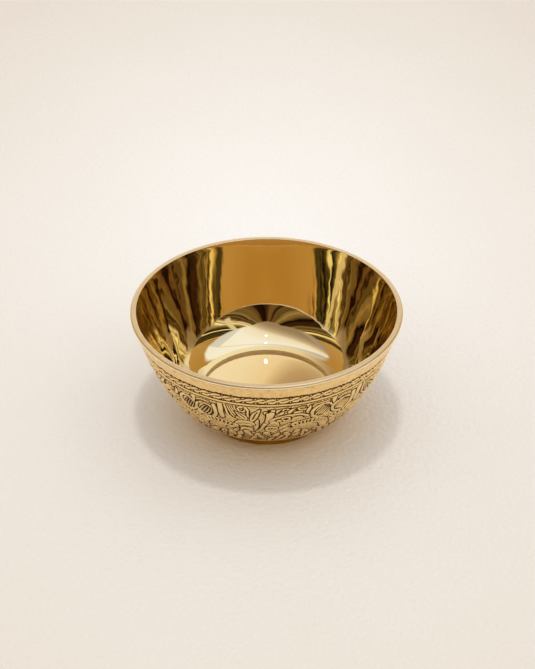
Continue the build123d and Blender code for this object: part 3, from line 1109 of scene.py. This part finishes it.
# Painted shade: a warm, darker tint within about 25 to 55 mm of the middle stands for the shade round the
# foot and the brass's warm bounce light.
near_foot = graph.span(graph.vector("LENGTH", "Value", place), 0.0, 1.0, 25 * MM, 55 * MM)
painted_warm_shade = graph.ramp(near_foot, [(0.0, (0.82, 0.64, 0.36)), (0.3, (0.93, 0.85, 0.72)), (1.0, (1.0, 1.0, 1.0))])
graph.fill(shader, {
    "Base Color": graph.blend(1.0, painted_light_pool, painted_warm_shade, "MULTIPLY"),
    "Roughness": 0.55,
    "Normal": graph.bumps((graph.noise(420.0, detail=5.0), 5.0e-4))})
table_mesh.materials.append(table_finish)
table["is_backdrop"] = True
print("table:", 2 * table_half, "m square")

# %% [markdown]
# ## Light
# A mirror shows the room, so the room is drawn as a soft studio: a bright ceiling, a warm wall behind the
# bowl, and upright dark and bright strips round the viewer's side, as flags and strip lights stand round a
# set for shiny metal. Only reflections see that room, and nothing in it is brighter than white. Everything
# else is lit by an even sky, a little dimmer from the left, and by a soft lamp overhead that reflections
# don't show. Two small lamps give the sparks in the bottom.

# %% Sky
world = bpy.data.worlds.new("studio")
bpy.context.scene.world = world
world.use_nodes = True
graph = Graph(world.node_tree)
sky_x, sky_y, rise = graph.parts(graph.place("Generated"))
even_sky = graph.ramp(rise, [
    (0.0, (1.03, 0.945, 0.84)), (0.3, (1.03, 0.98, 0.91)), (0.6, (0.99, 0.97, 0.945)), (1.0,
                                                                                        (0.95, 0.94, 0.93))])
from_left = graph.span(sky_x, 0.45, 0.0, -0.9, 0.5)
even_sky = graph.blend(from_left, even_sky, (0.52, 0.47, 0.41))
print("sky: even, dimmer from the left")

# %% Walls in the reflections
back_wall = (0.484, 0.259, 0.060)
pale_wall = (0.546, 0.323, 0.104)
olive = (0.09, 0.06, 0.016)
umber = (0.05, 0.018, 0.005)
gold = (0.72, 0.48, 0.17)
window_colour = (0.78, 0.64, 0.38)
card_colour = (0.9, 0.86, 0.8)
strips = [
    (-150, back_wall), (-97, pale_wall), (-94, olive), (-84, (0.05, 0.04, 0.012)), (-80, gold),
    (-73, (0.75, 0.52, 0.20)), (-70, (0.95, 0.74, 0.36)), (-67, (0.50, 0.33, 0.11)),
    (-52, (0.10, 0.065, 0.018)), (-44, (0.20, 0.13, 0.035)), (-40, umber), (-26, (0.03, 0.012, 0.005)),
    (-20, (0.12, 0.07, 0.02)), (-14, (0.42, 0.27, 0.085)), (-10, (0.05, 0.035, 0.01)),
    (-5, (0.22, 0.12, 0.035)), (0, umber), (7, (0.18, 0.09, 0.025)), (11, olive), (16, (0.46, 0.30, 0.10)),
    (20, umber), (24, (0.20, 0.12, 0.04)), (28, (1.0, 0.85, 0.54)), (35, (0.8, 0.62, 0.28)),
    (41, (0.25, 0.17, 0.05)), (46, (0.06, 0.05, 0.015)), (54, olive), (57, (0.95, 0.82, 0.45)), (60, olive),
    (84, (0.06, 0.048, 0.013)), (88, pale_wall), (150, back_wall)]
fine_shades = [
    (0.38, (0.15, 0.12, 0.08)), (0.46, (0.8, 0.77, 0.72)), (0.56, (1.0, 1.0, 1.0)), (0.66, (1.5, 1.45, 1.3))]
window_turn = math.radians(46)
window_half = math.radians(3.4)
soft_edge = 0.02
room_tops = [(0, 0.62), (10, 0.66), (20, 0.745), (95, 0.755), (180, 0.765)]

azimuth = graph.math("ARCTAN2", sky_x, graph.math("MULTIPLY", sky_y, -1.0))
to_right = graph.span(azimuth, -1.0, 1.0, -0.87, 0.87)
lean = graph.math("MULTIPLY", to_right, graph.span(rise, -0.67, 0.67, 0.26, 1.0))
round_share = graph.span(graph.math("ADD", azimuth, lean), 0.0, 1.0, -math.pi, math.pi)
strip_colour = graph.ramp(round_share, [((a + 180) / 360, c) for a, c in strips])
fine = graph.add("TexNoise", "Fac", {"W": round_share, "Scale": 52.0, "Detail": 1.5}, noise_dimensions="1D")
behind = graph.span(graph.math("ABSOLUTE", azimuth), 0.0, 1.0, 0.0, math.pi)
in_front = graph.span(behind, 1.0, 0.0, 0.45, 0.55)
streaks = graph.blend(in_front, strip_colour, graph.ramp(fine, fine_shades), "MULTIPLY")
low_wall = graph.ramp(rise, [(0.0, (0.40, 0.18, 0.03)), (0.2, (0.42, 0.26, 0.09))])
walls = graph.blend(graph.span(rise, 0.0, 1.0, 0.14, 0.27), low_wall, streaks)
from_window = graph.math("ABSOLUTE", graph.math("SUBTRACT", azimuth, window_turn))
in_window = graph.span(from_window, 1.0, 0.0, window_half - soft_edge, window_half + soft_edge)
in_window = graph.math("MULTIPLY", in_window, graph.span(rise, 0.0, 1.0, 0.36, 0.39))
walls = graph.blend(in_window, walls, window_colour)
on_card = graph.math("MULTIPLY", graph.span(behind, 0.0, 1.0, 0.82, 0.88), graph.span(rise, 1.0, 0.0, 0.53,
                                                                                      0.55))
walls = graph.blend(on_card, walls, card_colour)
print("room:", len(strips), "stops round the horizon")

# %% Ceiling in the reflections
panel_shift = 0.07
panel_half = 0.58
panel_edge = 0.03
beam_place = 0.42
beam_half = 0.02

ceiling_height = graph.math("MAXIMUM", rise, 0.1)
ceiling_x = graph.math("DIVIDE", sky_x, ceiling_height)
ceiling_y = graph.math("DIVIDE", sky_y, ceiling_height)
slant = graph.math("ADD", graph.math("MULTIPLY", ceiling_x, 0.7), graph.math("MULTIPLY", ceiling_y, 0.5))
light_panel = graph.ramp_over(slant, -0.6, 0.4, [
    (-0.5, (0.33, 0.24, 0.15)), (-0.37, (0.42, 0.31, 0.21)), (-0.24, (0.60, 0.48, 0.36)),
    (-0.13, (0.93, 0.85, 0.73)), (0.1, (0.98, 0.98, 0.98)), (0.25, (1.0, 1.0, 1.0))])
sides = graph.ramp_over(ceiling_x, -1.2, 1.2, [
    (-0.9, (0.38, 0.28, 0.19)), (-0.5, (0.48, 0.40, 0.33)), (0.6, (0.74, 0.74, 0.78)), (1.2,
                                                                                        (0.66, 0.62, 0.56))])
back = graph.ramp_over(ceiling_x, -1.2, 1.2, [
    (-1.0, (0.40, 0.33, 0.28)), (-0.3, (0.62, 0.57, 0.56)), (0.1, (1.0, 1.0, 1.0)), (1.0,
                                                                                     (0.96, 0.96, 0.97))])
from_middle = graph.math("ABSOLUTE", graph.math("ADD", ceiling_x, panel_shift))
on_panel = graph.span(from_middle, 1.0, 0.0, panel_half - panel_edge, panel_half + panel_edge)
ceiling = graph.blend(on_panel, sides, light_panel)
beam_line = graph.math("ADD", ceiling_y, graph.math("MULTIPLY", ceiling_x, 0.35))
past_beam = graph.math("SUBTRACT", beam_line, beam_place)
ceiling = graph.blend(graph.span(past_beam, 0.0, 1.0, -beam_half, beam_half), ceiling, back)
on_beam = graph.span(graph.math("ABSOLUTE", past_beam), 0.6, 0.0, beam_half * 0.4, beam_half * 1.6)
ceiling = graph.blend(on_beam, ceiling, sides)

room_top = graph.ramp(behind, [(a / 180, (v, v, v)) for a, v in room_tops])
above = graph.math("SUBTRACT", rise, room_top)
room = graph.blend(graph.span(above, 0.0, 1.0, -0.015, 0.02), walls, ceiling)
room = graph.vector("MINIMUM", "Vector", room, (1.0, 1.0, 1.0))
in_reflections = graph.add("LightPath", "Is Glossy Ray", {})
graph.fill(world.node_tree.nodes["Background"], {
    "Color": graph.blend(in_reflections, even_sky, room), "Strength": 1.0})
print("ceiling: panel, beam and back")


# %% Lamps
def ceiling_lamp(name, size, energy, place, in_mirrors):
    """A round lamp that shines straight down. Only some lamps are to be seen in the mirrors."""
    data = bpy.data.lights.new(name, "AREA")
    data.shape = "DISK"
    data.size = size
    data.energy = energy
    lamp = bpy.data.objects.new(name, data)
    lamp.location = place
    bpy.context.collection.objects.link(lamp)
    lamp.visible_glossy = in_mirrors
    return lamp


ceiling_lamp("soft_lamp", 0.36, 27.0, (-0.04, 0.12, 4.0), in_mirrors=False)
ceiling_lamp("front_spark", 0.03, 0.08, (0.01, -0.15, 1.5), in_mirrors=True)
ceiling_lamp("back_spark", 0.03, 0.08, (0.01, 0.5, 1.45), in_mirrors=True)
mirror_bounces = 20
bpy.context.scene.cycles.max_bounces = mirror_bounces
bpy.context.scene.cycles.glossy_bounces = mirror_bounces
print("lamps: 3")

# %% [markdown]
# ## Camera
# The view was fitted to the two ellipses of the rim: the camera looks down at about 34 degrees from twelve
# rim radii away, with a lens about as long as a portrait lens.

# %% Camera
photo_width = 535
photo_height = 669
view_elevation = math.radians(33.64)
view_distance = 12 * rim_radius * MM
lens_pixels = 1634.7
rim_center_pixel = (266.6, 306.76)
sensor = 36.0

rim_center = Vector((0, 0, bowl_height * MM))
forward = Vector((0, math.cos(view_elevation), -math.sin(view_elevation)))
upward = Vector((0, math.sin(view_elevation), math.cos(view_elevation)))
camera_data = bpy.data.cameras.new("camera")
camera_data.sensor_width = sensor
camera_data.lens = lens_pixels * sensor / photo_height
camera = bpy.data.objects.new("camera", camera_data)
camera.location = rim_center - forward * view_distance
pixel = view_distance / lens_pixels
aim = rim_center + Vector((1, 0, 0)) * (photo_width / 2 - rim_center_pixel[0]) * pixel
aim -= upward * (photo_height / 2 - rim_center_pixel[1]) * pixel
camera.rotation_euler = (aim - camera.location).to_track_quat("-Z", "Y").to_euler()
bpy.context.collection.objects.link(camera)
bpy.context.scene.camera = camera
bpy.context.scene.view_settings.view_transform = "Standard"
print("camera at", [round(v, 4) for v in camera.location])

# %% [markdown]
# The CAD box and the dressed bowl's box are both gathered here, and the dressed bowl's box is printed in
# millimetres, as the CAD box was at the start. The dressed bowl has to stay inside the CAD box.

# %% Sizes and finish
boxes = {"cad": [list(c) for c in cad_box], "visual": [list(c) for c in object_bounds()]}
print("visual box in mm:", [[round(v / MM, 2) for v in c] for c in boxes["visual"]])
